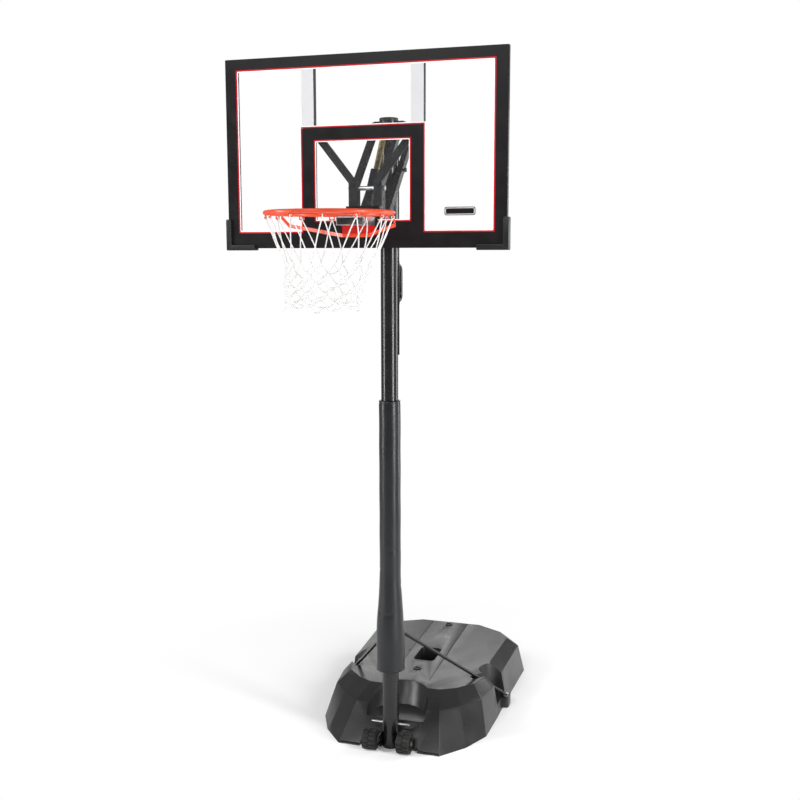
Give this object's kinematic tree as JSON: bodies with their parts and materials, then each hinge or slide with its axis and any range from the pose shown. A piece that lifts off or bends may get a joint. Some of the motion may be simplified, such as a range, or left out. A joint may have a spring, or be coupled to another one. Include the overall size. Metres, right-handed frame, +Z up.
{
  "type": "portable basketball hoop",
  "caption": "Portable basketball hoop: ballast base on two wheels, padded round pole, height-adjusting arms, clear framed backboard, breakaway ring and net.",
  "frame": {"origin": "the ground under the pole's axis, centre of the pole foot's underside", "axes": "+Z up, +Y back towards the ballast base, -Y towards the player and the ring, +X to the right as the player sees it"},
  "size_m": [1.205, 2.2396, 3.078],
  "materials": {
    "base_plastic": "textured",
    "ballast_water": "smooth",
    "black_metal": "satin",
    "black_plastic": "satin",
    "pad_vinyl": "satin",
    "zinc": "zinc plated",
    "yellow_zinc": "yellow zinc plated",
    "tread_rubber": "matte",
    "clear_panel": "clear",
    "rim_orange": "powder coated",
    "cover_red": "gloss",
    "net_cord": "braided"
  },
  "bodies": {
    "stand": {"base_tank": "base_plastic", "ballast_fill": "ballast_water", "pole_bottom_section": "black_metal", "pole_middle_section": "black_metal", "pole_top_section": "black_metal", "pole_foot_plug": "black_plastic", "pole_top_cap": "black_plastic", "pole_pad": "pad_vinyl", "strut_left": "black_metal", "strut_right": "black_metal", "strut_top_bolt": "black_metal", "strut_foot_bolts": "zinc", "pole_cross_rod": "zinc", "wheel_axles": "zinc", "pole_joint_screws": "black_metal", "assist_ears": "black_metal", "upper_pivot_bolt": "black_metal", "lower_pivot_bolt": "black_metal"},
    "wheel_left_body": {"wheel_left": "tread_rubber"},
    "wheel_right_body": {"wheel_right": "tread_rubber"},
    "rear_cap_body": {"rear_filler_cap": "black_plastic"},
    "front_cap_body": {"front_filler_cap": "black_plastic"},
    "upper_arms": {"upper_arm_left": "black_metal", "upper_arm_right": "black_metal"},
    "lower_arms": {"lower_arm_left": "black_metal", "lower_arm_right": "black_metal", "lower_arm_rear_bolt": "black_metal"},
    "lift_bar_body": {"lift_bar": "black_metal", "lift_handle": "black_metal"},
    "trigger_body": {"release_trigger": "black_plastic"},
    "assist_strut": {"assist_rod": "black_metal", "assist_spring": "yellow_zinc"},
    "ladder_body": {"ladder_channel": "black_metal"},
    "board": {"board_panel": "clear_panel", "frame_top": "black_metal", "frame_bottom": "black_metal", "frame_left": "black_metal", "frame_right": "black_metal", "rear_channel_left": "black_metal", "rear_channel_right": "black_metal", "mount_channel": "black_metal", "bracket_left": "black_metal", "bracket_right": "black_metal", "brace_left": "black_metal", "brace_right": "black_metal", "board_upper_bolt": "zinc", "board_lower_bolt": "black_metal", "ladder_pin": "zinc", "corner_guard_left": "black_plastic", "corner_guard_right": "black_plastic", "rim_mount_plate": "black_metal", "rim_mount_bolts": "black_metal", "rim_springs": "zinc"},
    "rim": {"rim_bracket": "zinc", "rim_cover": "cover_red", "rim_ring": "rim_orange", "rim_hooks": "rim_orange", "rim_brace": "rim_orange", "net": "net_cord"}
  },
  "joints": [
    {"name": "height_adjust", "type": "hinge", "parent": "stand", "child": "upper_arms", "pos_m": [0, 0, 2.84], "axis": [-1, 0, 0], "range_deg": [0, 94.4]},
    {"name": "lower_arms_swing", "type": "hinge", "parent": "stand", "child": "lower_arms", "pos_m": [0, 0, 2.645], "axis": [-1, 0, 0], "range_deg": [0, 94.4]},
    {"name": "board_level", "type": "hinge", "parent": "upper_arms", "child": "board", "pos_m": [0, -0.3, 2.552], "axis": [-1, 0, 0], "range_deg": [-94.4, 0]},
    {"name": "lift_bar_hang", "type": "hinge", "parent": "lower_arms", "child": "lift_bar_body", "pos_m": [0, 0.10099, 2.74195], "axis": [-1, 0, 0], "range_deg": [-94.4, 0]},
    {"name": "trigger_squeeze", "type": "hinge", "parent": "lift_bar_body", "child": "trigger_body", "pos_m": [0, 0.11899, 2.206], "axis": [1, 0, 0], "range_deg": [0, 12], "stiffness_Nm_per_rad": 1, "springref_deg": -11.46},
    {"name": "assist_strut_swing", "type": "hinge", "parent": "stand", "child": "assist_strut", "pos_m": [0, -0.07, 2.79], "axis": [-1, 0, 0], "range_deg": [0, 108.2], "deforming": ["assist_spring"]},
    {"name": "ladder_swing", "type": "hinge", "parent": "board", "child": "ladder_body", "pos_m": [0, -0.3, 2.46], "axis": [-1, 0, 0], "range_deg": [0, 108.2]},
    {"name": "rim_tilt", "type": "hinge", "parent": "board", "child": "rim", "pos_m": [0, -0.381, 2.3684], "axis": [1, 0, 0], "range_deg": [0, 15], "stiffness_Nm_per_rad": 300, "springref_deg": -17.19},
    {"name": "wheel_left_spin", "type": "hinge", "parent": "stand", "child": "wheel_left_body", "pos_m": [-0.082, -0.054, 0.0475], "axis": [1, 0, 0], "continuous": true},
    {"name": "wheel_right_spin", "type": "hinge", "parent": "stand", "child": "wheel_right_body", "pos_m": [0.082, -0.054, 0.0475], "axis": [1, 0, 0], "continuous": true},
    {"name": "rear_cap_lift", "type": "slide", "parent": "stand", "child": "rear_cap_body", "axis": [0, 0, 1], "range_m": [0, 0.04]},
    {"name": "front_cap_lift", "type": "slide", "parent": "stand", "child": "front_cap_body", "axis": [0, 0, 1], "range_m": [0, 0.04]}
  ],
  "couplings": [
    {"joint": "lower_arms_swing", "follows": "height_adjust", "ratio": 1},
    {"joint": "board_level", "follows": "height_adjust", "ratio": -1},
    {"joint": "lift_bar_hang", "follows": "height_adjust", "ratio": -1},
    {"joint": "assist_strut_swing", "follows": "height_adjust", "ratio": 1.145},
    {"joint": "ladder_swing", "follows": "height_adjust", "ratio": 1.145}
  ]
}
